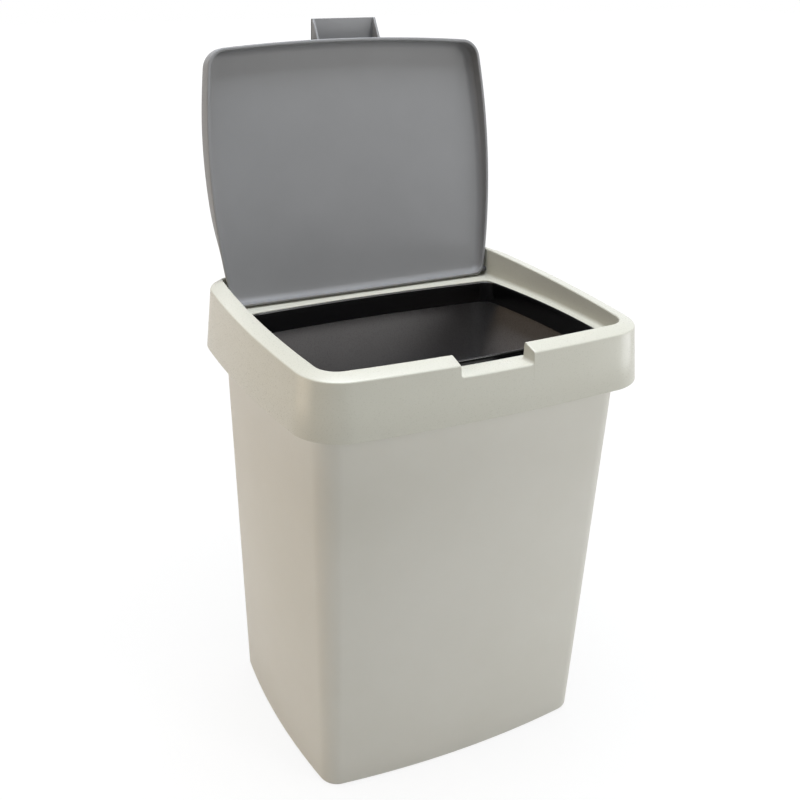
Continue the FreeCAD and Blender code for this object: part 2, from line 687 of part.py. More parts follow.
def make_lid(document, sheet):
    """Flap lid: a shallow pan with hinge bosses and a ribbed finger tab, standing open."""
    body = make_lid_form(document, sheet, "lid", "0", LID_RIM, "lid_edge_round")
    hollow = make_lid_form(
        document, sheet, "lid_hollow", "lid_wall", f"{LID_RIM} + lid_wall", "lid_edge_round - lid_wall"
    )
    pan = body.newObject("PartDesign::Boolean", "lid_pan")
    pan.Type = "Cut"
    pan.setObjects([hollow])
    document.recompute()

    for side, turned in (("right", False), ("left", True)):
        start = sideways(f"{HINGE_WALL} - boss_end_gap - boss_length", turned)
        ring = draw_circle(body, f"boss_ring_{side}", "hinge_boss", "0", "0", start)
        extrude(body, f"boss_{side}", ring, "boss_length", backwards=turned)

    tail = draw_tail(body)
    extrude(body, "tail_round", tail, f"4 * ( {LID_SIDE} )", cut=True, middle=True)

    for side, turned in (("right", False), ("left", True)):
        start = sideways(f"{HINGE_WALL} - boss_end_gap - boss_length * 1.5", turned)
        hole = draw_circle(body, f"pin_hole_{side}", "pin_radius + pin_seat_gap", "0", "0", start)
        extrude(body, f"pin_bore_{side}", hole, "boss_length * 2", cut=True, backwards=not turned)

    tip = f"0 - ( {LID_FRONT} ) - tab_reach"
    root = f"0 - ( {LID_FRONT} ) + lid_edge_round"
    inside = f"0 - ( {LID_FRONT} ) + lid_wall / 2"
    level = f"lid_front_depth - {LID_RIM}"
    plate = draw_profile(
        body,
        "tab_plate_outline",
        [(tip, f"{level} - tab_plate"), (root, f"{level} - tab_plate"), (root, level), (tip, level)],
    )
    extrude(body, "tab_plate", plate, "tab_width", middle=True)
    for side, turned in (("right", False), ("left", True)):
        rib = draw_profile(
            body,
            f"tab_rib_outline_{side}",
            [
                (tip, f"{level} - tab_tip_depth"),
                (inside, f"{level} - tab_rib_depth"),
                (inside, f"{level} - tab_plate / 2"),
                (tip, f"{level} - tab_plate / 2"),
            ],
            offset=sideways("tab_width / 2 - tab_rib", turned),
        )
        extrude(body, f"tab_rib_{side}", rib, "tab_rib", backwards=turned)

    body.Placement = FreeCAD.Placement(FreeCAD.Vector(0, 1, 1), FreeCAD.Rotation(-ACROSS, 1.0))
    body.setExpression("Placement.Base.y", terms(HINGE_Y))
    body.setExpression("Placement.Base.z", terms(HINGE_Z))
    body.setExpression("Placement.Rotation.Angle", terms("lid_open_angle"))
    return body


def make_pin(document, label, turned):
    """Hinge pin: a plain dowel that is tight in the lid and turns in the collar's socket."""
    body = new_body(document, label)
    start = sideways(f"{HINGE_WALL} - boss_end_gap - pin_bury", turned)
    ring = draw_circle(body, f"{label}_ring", "pin_radius", HINGE_Y, HINGE_Z, start)
    reach = "pin_bury + boss_end_gap + collar_wall + socket_length"
    extrude(body, f"{label}_rod", ring, reach, backwards=turned)
    document.recompute()
    chamfer = body.newObject("PartDesign::Chamfer", f"{label}_ends")
    base = body.Group[-2]
    rings = [f"Edge{n}" for n, edge in enumerate(base.Shape.Edges, start=1) if len(edge.Vertexes) == 1]
    chamfer.Base = (base, rings)
    chamfer.setExpression("Size", terms("pin_end_round"))
    return body


def check(document):
    """Stop if any object of the document failed to build."""
    for item in document.Objects:
        if "Invalid" in item.State or "Error" in item.State:
            raise RuntimeError(f"{item.Label} failed: {item.State}")


def write_piece(piece):
    """Write one sub-part to its file, named by its label."""
    shape = piece.Shape
    if shape.isNull() or not shape.isValid():
        raise RuntimeError(f"{piece.Label} has no valid shape")
    shape.exportStep(os.path.join(PARTS_FOLDER, piece.Label + ".step"))
    box = shape.BoundBox
    print(f"{piece.Label}: {len(shape.Solids)} solid, {shape.Volume / 1000:.1f} cm3, "
          f"z {box.ZMin:.1f} to {box.ZMax:.1f}")


def main():
    """Build every piece, check it and write it."""
    document = FreeCAD.newDocument("FlapLidBin")
    sheet = make_sheet(document)
    pieces = [
        make_outer_body(document),
        make_inner_bucket(document),
        make_bag_ring(document),
        make_collar(document),
        make_lid(document, sheet),
        make_pin(document, "hinge_pin_right", False),
        make_pin(document, "hinge_pin_left", True),
    ]
    document.recompute()
    check(document)
    os.makedirs(PARTS_FOLDER, exist_ok=True)
    for piece in pieces:
        write_piece(piece)


main()
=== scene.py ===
"""Flap-lid waste bin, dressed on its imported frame.

The pieces are drawn in millimetres in the frame of the solids: the origin on the floor
under the middle of the base, +Z up, the finger notch towards -Y, the hinge towards +Y.
"""

import logging
import math
from abc import ABC, abstractmethod
from dataclasses import dataclass, fields
from enum import Enum
from typing import Any, Callable, Sequence

import bmesh
import bpy
from mathutils import Matrix, Vector


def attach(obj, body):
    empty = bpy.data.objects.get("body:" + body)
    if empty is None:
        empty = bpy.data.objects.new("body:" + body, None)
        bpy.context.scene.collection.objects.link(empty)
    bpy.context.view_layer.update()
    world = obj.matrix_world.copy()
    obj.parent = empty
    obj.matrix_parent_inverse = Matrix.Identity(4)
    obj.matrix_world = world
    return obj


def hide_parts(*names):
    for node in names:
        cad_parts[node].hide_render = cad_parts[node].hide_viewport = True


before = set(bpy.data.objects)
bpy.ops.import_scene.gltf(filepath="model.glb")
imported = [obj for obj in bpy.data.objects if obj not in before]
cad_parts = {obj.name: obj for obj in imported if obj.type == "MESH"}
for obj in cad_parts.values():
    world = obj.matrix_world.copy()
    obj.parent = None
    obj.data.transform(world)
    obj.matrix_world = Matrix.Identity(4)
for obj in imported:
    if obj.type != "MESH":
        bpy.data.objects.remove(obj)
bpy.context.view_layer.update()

MM = 0.001
LOG = logging.getLogger("waste_bin")

# Sharpest turn that is shaded smooth, in degrees
SMOOTH_ANGLE = 40.0
# Points nearer than this are one point, in metres, and decimals that tell points apart
MERGE_DISTANCE = 0.000002
POINT_DIGITS = 8
BEVEL_SEGMENTS = 3
# Radius of the circle that a loft starts from, in metres, before its points are placed
START_RADIUS = 0.1

# Steps along each stretch of an outline, and from the rim of a lid panel to its middle
FRONT_STEPS = 12
CORNER_STEPS = 14
SIDE_STEPS = 26
REAR_STEPS = 18
PANEL_STEPS = 26

# Finger notch in the collar's front: half width, round of its upper edge, fillet at its floor
NOTCH_HALF = 30.5
NOTCH_EDGE = 0.9
NOTCH_FILLET = 2.6
# How much narrower the notch's side is at its foot, which keeps its columns apart
NOTCH_SLANT = 0.03
NOTCH_STEPS = 3
# Columns over a quarter round, as shares of its radius
QUARTER_SHARES = (0.08, 0.293, 0.62, 1.0)
# Smallest corner radius that an outline keeps when it shrinks
LEAST_CORNER = 0.3

# Noise of the grain and of the mottling, and the part of each that is spread to full range
GRAIN_DETAIL, GRAIN_ROUGHNESS = 3.0, 0.6
GRAIN_LOW, GRAIN_HIGH = 0.3, 0.7
FLOW_DETAIL, FLOW_ROUGHNESS = 4.0, 0.55
FLOW_LOW, FLOW_HIGH = 0.35, 0.65
BUMP_STRENGTH = 0.6

Ring = list[Vector]
Height = Callable[[float, float], float]


def linear(code: str) -> tuple[float, float, float, float]:
    """Turn an sRGB hex colour into linear RGBA.

    Args:
        code: Six hex digits, such as "C8C4B8".

    Returns:
        Linear red, green and blue with an alpha of one.
    """
    channels = [int(code[index : index + 2], 16) / 255 for index in (0, 2, 4)]
    values = [c / 12.92 if c <= 0.04045 else ((c + 0.055) / 1.055) ** 2.4 for c in channels]
    return values[0], values[1], values[2], 1.0


def add_node(
    tree: bpy.types.NodeTree,
    kind: str,
    settings: dict[str, Any] | None = None,
    inputs: dict[str | int, Any] | None = None,
) -> bpy.types.Node:
    """Add a shader node with its settings, and fill or link its inputs.

    Args:
        tree: Node tree that takes the node.
        kind: Type name of the node.
        settings: Attributes to set on the node.
        inputs: Socket name or number to a plain value, or to a socket to link from.

    Returns:
        The new node.
    """
    node = tree.nodes.new(kind)
    for name, value in (settings or {}).items():
        setattr(node, name, value)
    for name, value in (inputs or {}).items():
        if isinstance(value, bpy.types.NodeSocket):
            tree.links.new(value, node.inputs[name])
        else:
            node.inputs[name].default_value = value
    return node


def blank_material(name: str) -> bpy.types.Material:
    """Make a material with an empty node tree.

    Args:
        name: Name of the material.

    Returns:
        The material, still without a shader.
    """
    result = bpy.data.materials.new(name)
    result.use_nodes = True
    result.node_tree.nodes.clear()
    return result


def deselect() -> None:
    """Deselect every object."""
    bpy.ops.object.select_all(action="DESELECT")


def soften(piece: bpy.types.Object, width: float) -> None:
    """Bevel a piece's edges and shade it smooth.

    Args:
        piece: Object to soften.
        width: Width of the bevel in millimetres.
    """
    deselect()
    piece.select_set(True)
    bpy.context.view_layer.objects.active = piece
    rounding = piece.modifiers.new("edge_round", "BEVEL")
    rounding.width = width * MM
    rounding.segments = BEVEL_SEGMENTS
    bpy.ops.object.modifier_apply(modifier=rounding.name)
    bpy.ops.object.shade_smooth_by_angle(angle=math.radians(SMOOTH_ANGLE))


@dataclass(frozen=True)
class GrainedPlastic:
    """A coloured plastic with a fine grain in bump and gloss, and faint flow mottling.

    The grain breaks up reflections into a sheen, and the mottling shifts the colour a little
    over a hand's breadth, as on a large moulding.
    """

    name: str
    colour: str
    mottle: str
    roughness: float
    gloss_spread: float
    grain_mm: float
    grain_height_mm: float
    mottle_mm: float
    ior: float = 1.49

    def material(self) -> bpy.types.Material:
        """Build the finish as a node material.

        Returns:
            The material, named for the plastic and how it was made.
        """
        result = blank_material(self.name)
        tree = result.node_tree
        place = add_node(tree, "ShaderNodeTexCoord").outputs["Object"]
        grain = add_node(
            tree,
            "ShaderNodeTexNoise",
            inputs={
                "Vector": place,
                "Scale": 1 / (self.grain_mm * MM),
                "Detail": GRAIN_DETAIL,
                "Roughness": GRAIN_ROUGHNESS,
            },
        )
        flow = add_node(
            tree,
            "ShaderNodeTexNoise",
            inputs={
                "Vector": place,
                "Scale": 1 / (self.mottle_mm * MM),
                "Detail": FLOW_DETAIL,
                "Roughness": FLOW_ROUGHNESS,
            },
        )
        share = add_node(
            tree,
            "ShaderNodeMapRange",
            inputs={"Value": flow.outputs["Fac"], "From Min": FLOW_LOW, "From Max": FLOW_HIGH},
        )
        tint = add_node(
            tree,
            "ShaderNodeMix",
            {"data_type": "RGBA"},
            {"Factor": share.outputs["Result"], "A": linear(self.colour), "B": linear(self.mottle)},
        )
        gloss = add_node(
            tree,
            "ShaderNodeMapRange",
            inputs={
                "Value": grain.outputs["Fac"],
                "From Min": GRAIN_LOW,
                "From Max": GRAIN_HIGH,
                "To Min": self.roughness - self.gloss_spread,
                "To Max": self.roughness + self.gloss_spread,
            },
        )
        bump = add_node(
            tree,
            "ShaderNodeBump",
            inputs={
                "Strength": BUMP_STRENGTH,
                "Distance": self.grain_height_mm * MM,
                "Height": grain.outputs["Fac"],
            },
        )
        shader = add_node(
            tree,
            "ShaderNodeBsdfPrincipled",
            inputs={
                "Base Color": tint.outputs["Result"],
                "Roughness": gloss.outputs["Result"],
                "IOR": self.ior,
                "Normal": bump.outputs["Normal"],
            },
        )
        add_node(tree, "ShaderNodeOutputMaterial", inputs={"Surface": shader.outputs["BSDF"]})
        return result


# Real mould grain is about 0.1 mm wide, too fine to show, so each grain is drawn coarser

# Polypropylene from an eroded mould: warm pale grey, satin, with wide soft highlights
BODY_FINISH = GrainedPlastic(
    name="moulded_polypropylene_warm_grey",
    colour="CAC7BE",
    mottle="C6C3B9",
    roughness=0.46,
    gloss_spread=0.05,
    grain_mm=0.9,
    grain_height_mm=0.02,
    mottle_mm=140.0,
)
# Polypropylene from a smoother mould: pale grey whose rounded edges catch a clear line of light
COLLAR_FINISH = GrainedPlastic(
    name="moulded_polypropylene_pale_grey",
    colour="C5C3B7",
    mottle="C2C0B3",
    roughness=0.30,
    gloss_spread=0.05,
    grain_mm=0.9,
    grain_height_mm=0.012,
    mottle_mm=140.0,
)
# Polypropylene with the strongest grain: an even mid grey that looks nearly matt
LID_FINISH = GrainedPlastic(
    name="moulded_polypropylene_mid_grey",
    colour="828283",
    mottle="7E7E7F",
    roughness=0.48,
    gloss_spread=0.06,
    grain_mm=0.8,
    grain_height_mm=0.03,
    mottle_mm=90.0,
)
# Semi-gloss polypropylene: its walls mirror each other faintly and darken towards the corners
BUCKET_FINISH = GrainedPlastic(
    name="moulded_polypropylene_dark_grey",
    colour="969495",
    mottle="908E8F",
    roughness=0.28,
    gloss_spread=0.04,
    grain_mm=1.1,
    grain_height_mm=0.010,
    mottle_mm=110.0,
)
# Glossy black polypropylene: mirrors the dark inside, so it reads as a deep black line
RING_FINISH = GrainedPlastic(
    name="moulded_polypropylene_black",
    colour="050506",
    mottle="030304",
    roughness=0.22,
    gloss_spread=0.02,
    grain_mm=0.9,
    grain_height_mm=0.004,
    mottle_mm=80.0,
)
# Acetal rod as it leaves the die: smooth grey with a narrow highlight along it
PIN_FINISH = GrainedPlastic(
    name="extruded_acetal_grey",
    colour="55555A",
    mottle="505055",
    roughness=0.35,
    gloss_spread=0.04,
    grain_mm=0.6,
    grain_height_mm=0.01,
    mottle_mm=20.0,
)


def arc_steps(first: float, last: float, count: int) -> list[tuple[float, float]]:
    """Cosines and sines of evenly spaced angles, in degrees."""
    turns = [math.radians(first + (last - first) * step / count) for step in range(count + 1)]
    return [(math.cos(turn), math.sin(turn)) for turn in turns]


def arc_points(
    centre: Sequence[float], radius: float, first: float, last: float, count: int
) -> list[tuple[float, float]]:
    """List points along an arc, without its far end.

    Args:
        centre: Centre of the arc.
        radius: Radius of the arc.
        first: Angle at the start, in radians.
        last: Angle at the far end, in radians.
        count: Number of steps.

    Returns:
        Pairs of x and y.
    """
    spots = []
    for step in range(count):
        angle = first + (last - first) * step / count
        spots.append((centre[0] + radius * math.cos(angle), centre[1] + radius * math.sin(angle)))
    return spots


def notch_columns() -> list[float]:
    """List the columns across one end of the notch.

    Returns:
        Distances from the middle, from the notch's floor to the rim.
    """
    floor = [NOTCH_HALF - share * NOTCH_FILLET for share in reversed(QUARTER_SHARES)]
    edge = [NOTCH_HALF + share * NOTCH_EDGE for share in QUARTER_SHARES]
    return floor + [NOTCH_HALF - NOTCH_SLANT, NOTCH_HALF] + edge


def front_columns(reach: float, notched: bool) -> list[float]:
    """List the columns of the front's right half, from the middle to the corner.

    Args:
        reach: Where the front meets its corner, in millimetres.
        notched: Whether to put columns at the finger notch.

    Returns:
        Distances from the middle, without the corner itself.
    """
    if not notched:
        return [reach * step / FRONT_STEPS for step in range(FRONT_STEPS)]
    ends = notch_columns()
    middle = [ends[0] * step / NOTCH_STEPS for step in range(NOTCH_STEPS)]
    outer = [ends[-1] + (reach - ends[-1]) * step / FRONT_STEPS for step in range(1, FRONT_STEPS)]
    return middle + ends + outer


@dataclass(frozen=True)
class Outline:
    """A rounded rectangle with bowed sides, seen from above, in millimetres."""

    half_width: float
    front: float
    rear: float
    side_bow: float
    front_bow: float
    rear_bow: float
    front_corner: float
    rear_corner: float

    def grown(self, amount: float) -> "Outline":
        """Move the outline outwards by an amount all round, and keep a small corner radius."""
        *sizes, front, rear = [getattr(self, item.name) + amount for item in fields(self)]
        return Outline(*sizes, max(front, LEAST_CORNER), max(rear, LEAST_CORNER))

    def corner(self, end: int) -> tuple[Vector, float, float, float]:
        """Find the right-hand corner arc at one end.

        Args:
            end: -1 for the front, 1 for the rear.

        Returns:
            The arc's centre, its radius, and its angles on the end and on the side.
        """
        bow = self.front_bow if end < 0 else self.rear_bow
        radius = self.front_corner if end < 0 else self.rear_corner
        reach = self.front if end < 0 else self.rear
        side = Vector((self.half_width - self.side_bow, (self.rear - self.front) / 2))
        far = Vector((0.0, end * (reach - bow)))
        line = far - side
        gap = line.length
        first, second = self.side_bow - radius, bow - radius
        along = (first**2 - second**2 + gap**2) / (2 * gap)
        aside = math.sqrt(first**2 - along**2)
        line.normalize()
        normal = Vector((-line.y, line.x))
        spots = [side + line * along + normal * aside * sign for sign in (1, -1)]
        centre = max(spots, key=lambda spot: spot.x + end * spot.y)
        at_end = math.atan2(*reversed((centre - far).to_tuple()))
        at_side = math.atan2(*reversed((centre - side).to_tuple()))
        return centre, radius, at_end, at_side

    def points(self, notched: bool = False) -> list[tuple[float, float]]:
        """List the outline's points, anticlockwise from the middle of the front.

        Args:
            notched: Whether the front has columns at the finger notch.

        Returns:
            Pairs of x and y in millimetres, in the same order for every outline.
        """
        front_centre, front_radius, front_end, front_side = self.corner(-1)
        rear_centre, rear_radius, rear_end, rear_side = self.corner(1)
        reach = front_centre.x + front_radius * math.cos(front_end)
        side_centre = (self.half_width - self.side_bow, (self.rear - self.front) / 2)
        end_centre = (0.0, self.rear - self.rear_bow)
        right = [
            (across, self.front_bow - self.front - math.sqrt(self.front_bow**2 - across**2))
            for across in front_columns(reach, notched)
        ]
        right += arc_points(front_centre, front_radius, front_end, front_side, CORNER_STEPS)
        right += arc_points(side_centre, self.side_bow, front_side, rear_side, SIDE_STEPS)
        right += arc_points(rear_centre, rear_radius, rear_side, rear_end, CORNER_STEPS)
        right += arc_points(end_centre, self.rear_bow, rear_end, math.pi / 2, REAR_STEPS)
        rear_middle = (0.0, self.rear)
        left = [(-x, y) for x, y in reversed(right[1:])]
        return right + [rear_middle] + left


def ring_at(outline: Outline, height: Height) -> Ring:
    """Lift an outline to a height that may vary over it, and return its points in metres."""
    return [Vector((x, y, height(x, y))) * MM for x, y in outline.points()]


def level(height: float, slope: float = 0.0) -> Height:
    """A plane at a height, which may rise towards the rear."""
    return lambda x, y: height + slope * y


class RingLoft:
    """A mesh that grows ring by ring from a circle, in edit mode."""

    def __init__(self, name: str, ring: Ring) -> None:
        """Start with a circle that is shaped to the first ring.

        Args:
            name: Name of the piece.
            ring: Points of the first ring.
        """
        deselect()
        bpy.ops.mesh.primitive_circle_add(vertices=len(ring), radius=START_RADIUS, fill_type="NOTHING")
        self.piece = bpy.context.object
        self.piece.name = name
        self.piece.data.name = name
        bpy.ops.object.mode_set(mode="EDIT")
        mesh = bmesh.from_edit_mesh(self.piece.data)
        for vert, spot in zip(mesh.verts, ring):
            vert.co = spot
        bmesh.update_edit_mesh(self.piece.data)
        self.last = ring

    def grow(self, ring: Ring) -> None:
        """Extrude the last ring and shape the new one.

        Args:
            ring: Points of the new ring, in the order of the last one.
        """
        bpy.ops.mesh.extrude_edges_move()
        mesh = bmesh.from_edit_mesh(self.piece.data)
        places = {tuple(round(c, POINT_DIGITS) for c in spot): index for index, spot in enumerate(self.last)}
        for vert in mesh.verts:
            if vert.select:
                vert.co = ring[places[tuple(round(c, POINT_DIGITS) for c in vert.co)]]
        bmesh.update_edit_mesh(self.piece.data)
        self.last = ring

    def climb(self, stages: Sequence[tuple[Outline, float]]) -> None:
        """Grow level rings, each from an outline and a height in millimetres."""
        for outline, height in stages:
            self.grow(ring_at(outline, level(height)))

    def reopen(self, ring: Ring) -> None:
        """Select the first ring again, so that the mesh can grow the other way.

        Args:
            ring: Points of the first ring.
        """
        bpy.ops.mesh.select_all(action="DESELECT")
        mesh = bmesh.from_edit_mesh(self.piece.data)
        mesh.verts.ensure_lookup_table()
        for vert in mesh.verts[: len(ring)]:
            vert.select = True
        mesh.select_flush(True)
        bmesh.update_edit_mesh(self.piece.data)
        self.last = ring

    def cap(self) -> None:
        """Close the last ring with one face."""
        bpy.ops.mesh.edge_face_add()

    def finish(self) -> bpy.types.Object:
        """Merge the rings, point the faces outwards and shade them smooth.

        Returns:
            The finished object.
        """
        bpy.ops.mesh.select_all(action="SELECT")
        bpy.ops.mesh.remove_doubles(threshold=MERGE_DISTANCE)
        bpy.ops.mesh.normals_make_consistent(inside=False)
        bpy.ops.object.mode_set(mode="OBJECT")
        bpy.ops.object.shade_smooth_by_angle(angle=math.radians(SMOOTH_ANGLE))
        return self.piece


class Place(Enum):
    """How a section of the collar behaves across the finger notch."""

    PLAIN = "plain"
    EDGE = "edge"
    TOP = "top"
    UNDER = "under"


@dataclass(frozen=True)
class Section:
    """One ring of the collar: an outline, a tilted height and its place at the notch."""

    outline: Outline
    height: float
    slope: float
    place: Place = Place.PLAIN


@dataclass
class Piece(ABC):
    """A sub-assembly: builds its mesh, dresses it and hangs it on a body."""

    node: str
    body: str
    slot: str
    finish: GrainedPlastic

    @abstractmethod
    def build(self) -> bpy.types.Object:
        """Model the piece; each kind of piece has its own way."""

    def dress(self, piece: bpy.types.Object) -> None:
        """Give the piece its finish."""
        piece.data.materials.clear()
        piece.data.materials.append(self.finish.material())

    def install(self) -> None:
        """Build and dress the piece, and let it stand for its solid."""
        piece = self.build()
        self.dress(piece)
        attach(piece, self.body)
        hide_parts(self.node)
        LOG.info("%s: %d faces on %s", piece.name, len(piece.data.polygons), self.body)


# Outlines that the pieces share, from the rim of the collar down to the base of the body
RIM_EDGE = Outline(145.0, 123.0, 123.0, 1020.0, 1460.0, 1460.0, 33.0, 33.0)
RECESS = Outline(131.5, 109.5, 107.5, 1006.5, 1446.5, 12000.0, 16.0, 4.0)
OPENING = Outline(123.0, 103.0, 84.0, 998.0, 1440.0, 1460.0, 5.0, 5.0)
RING_HOLE = Outline(120.7, 93.0, 78.0, 640.0, 1200.0, 1200.0, 12.0, 12.0)
BODY_TOP = Outline(137.0, 113.7, 113.7, 650.0, 810.0, 810.0, 22.0, 22.0)
BODY_BASE = Outline(127.6, 104.3, 104.3, 650.0, 810.0, 810.0, 16.0, 16.0)

# Heights over the floor at the middle, and how the rim rises and the ledge falls to the rear
BODY_HEIGHT = 346.0
SEAT = 350.4
RIM = 374.4
LEDGE = 358.6
RIM_SLOPE = math.tan(math.radians(1.7))
LEDGE_SLOPE = -math.tan(math.radians(1.5))
# Heights at which the walls of body and bucket have a ring
WALL_LEVELS = (60.0, 150.0, 250.0)
# Axis of the lid's hinge
HINGE_Y = 97.5
HINGE_Z = 361.447


def body_outline(height: float, inset: float) -> Outline:
    """Work out the body's outline between base and top edge, moved inwards.

    Args:
        height: Height over the floor.
        inset: How far the outline is moved inwards.

    Returns:
        The outline at that height.
    """
    share = height / BODY_HEIGHT
    values = []
    for item in fields(Outline):
        base = getattr(BODY_BASE, item.name)
        values.append(base + (getattr(BODY_TOP, item.name) - base) * share)
    return Outline(*values).grown(-inset)


@dataclass
class OuterBody(Piece):
    """Tapered outer shell with a rounded base edge and an outward rim under the collar."""

    wall: float = 2.4
    floor: float = 3.0
    floor_round: float = 3.0
    base_round: float = 4.0
    base_steps: int = 8
    base_inset: float = 18.0
    rim: float = 3.0
    rim_reach: float = 7.6
    rim_edge: float = 0.6
    neck_drop: float = 1.5
    neck_reach: float = 1.2

    def build(self) -> bpy.types.Object:
        """Loft the shell from the base up its outside and down its inside.

        Returns:
            The shell.
        """
        bend = self.base_round
        edge = self.rim_edge
        under = BODY_HEIGHT - self.rim
        foot = self.floor + self.floor_round
        base = BODY_BASE.grown(-bend - self.base_inset)
        loft = RingLoft("outer_body_shell", ring_at(base, level(0.0)))
        loft.cap()
        for cosine, sine in arc_steps(-90, 0, self.base_steps):
            loft.grow(ring_at(BODY_BASE.grown(bend * (cosine - 1)), level(bend * (1 + sine))))
        heights = (*WALL_LEVELS, under - self.neck_drop)
        loft.climb([(body_outline(height, 0.0), height) for height in heights])
        loft.climb(
            [
                (BODY_TOP.grown(self.neck_reach), under),
                (BODY_TOP.grown(self.rim_reach - edge), under),
                (BODY_TOP.grown(self.rim_reach), under + edge),
                (BODY_TOP.grown(self.rim_reach), BODY_HEIGHT - edge),
                (BODY_TOP.grown(self.rim_reach - edge), BODY_HEIGHT),
                (BODY_TOP.grown(-self.wall), BODY_HEIGHT),
                (body_outline(foot, self.wall), foot),
                (body_outline(self.floor, self.wall + self.floor_round), self.floor),
            ]
        )
        loft.cap()
        return loft.finish()


@dataclass
class InnerBucket(Piece):
    """Dark inner bucket that hangs by its lip, with well-rounded inside corners."""

    gap: float = 4.4
    wall: float = 2.0
    foot: float = 6.0
    floor: float = 8.5
    lip: float = 2.2
    lip_edge: float = 0.5
    mouth_round: float = 1.0
    mouth_step: float = 0.3
    base_inset: float = 14.0
    outer_round: float = 6.0
    outer_steps: int = 5
    inner_round: float = 7.0
    inner_steps: int = 7

    def build(self) -> bpy.types.Object:
        """Loft the bucket from its underside over the lip to its floor.

        Returns:
            The bucket.
        """
        bend = self.outer_round
        outer = body_outline(self.foot, self.gap)
        top = BODY_HEIGHT + self.lip
        lining = self.gap + self.wall
        base = outer.grown(-bend - self.base_inset)
        loft = RingLoft("inner_bucket_shell", ring_at(base, level(self.foot)))
        loft.cap()
        for cosine, sine in arc_steps(-90, 0, self.outer_steps):
            loft.grow(ring_at(outer.grown(bend * (cosine - 1)), level(self.foot + bend * (1 + sine))))
        loft.climb(
            [
                (BODY_TOP.grown(-self.gap), BODY_HEIGHT),
                (BODY_TOP, BODY_HEIGHT),
                (BODY_TOP, top - self.lip_edge),
                (BODY_TOP.grown(-self.lip_edge), top),
                (BODY_TOP.grown(-lining + self.mouth_round), top),
                (BODY_TOP.grown(-lining + self.mouth_step), top - self.mouth_step),
                (BODY_TOP.grown(-lining), top - self.mouth_round),
            ]
        )
        loft.climb([(body_outline(height, lining), height) for height in reversed(WALL_LEVELS)])
        bend = self.inner_round
        inner = body_outline(self.floor + bend, lining)
        for cosine, sine in arc_steps(0, -90, self.inner_steps):
            loft.grow(ring_at(inner.grown(bend * (cosine - 1)), level(self.floor + bend * (1 + sine))))
        loft.cap()
        return loft.finish()


@dataclass
class BagRing(Piece):
    """Black ring: a flange under the collar and a band that stands up through its mouth."""

    wall: float = 2.0
    flange: float = 2.2
    drop: float = 10.0
    reach: float = 5.5
    upstand: float = 0.8
    shelf_gap: float = 0.25
    shelf_drop: float = 2.6
    edge: float = 0.6
    crest_steps: int = 6

    def build(self) -> bpy.types.Object:
        """Loft the ring's closed cross-section round the mouth.

        Returns:
            The ring.
        """
        band = RING_HOLE.grown(self.wall)
        flange = RECESS.grown(self.reach)
        shelf = OPENING.grown(-self.shelf_gap)
        seat = level(SEAT)
        base = level(SEAT - self.flange)
        foot = level(SEAT - self.drop, LEDGE_SLOPE)
        foot_edge = level(SEAT - self.drop + self.edge, LEDGE_SLOPE)
        shelf_top = level(LEDGE - self.shelf_drop, LEDGE_SLOPE)
        first = ring_at(RING_HOLE.grown(self.edge), foot)
        loft = RingLoft("bag_ring_band", first)
        stages = [
            (band.grown(-self.edge), foot),
            (band, foot_edge),
            (band, base),
            (flange, base),
            (flange, seat),
            (shelf, seat),
            (shelf, shelf_top),
            (band, shelf_top),
        ]
        for outline, height in stages:
            loft.grow(ring_at(outline, height))
        crest = LEDGE + self.upstand
        for cosine, sine in arc_steps(0, 180, self.crest_steps):
            spot = RING_HOLE.grown(self.wall / 2 * (1 + cosine))
            loft.grow(ring_at(spot, level(crest + self.wall / 2 * (sine - 1), LEDGE_SLOPE)))
        loft.grow(ring_at(RING_HOLE, foot_edge))
        loft.grow(first)
        return loft.finish()


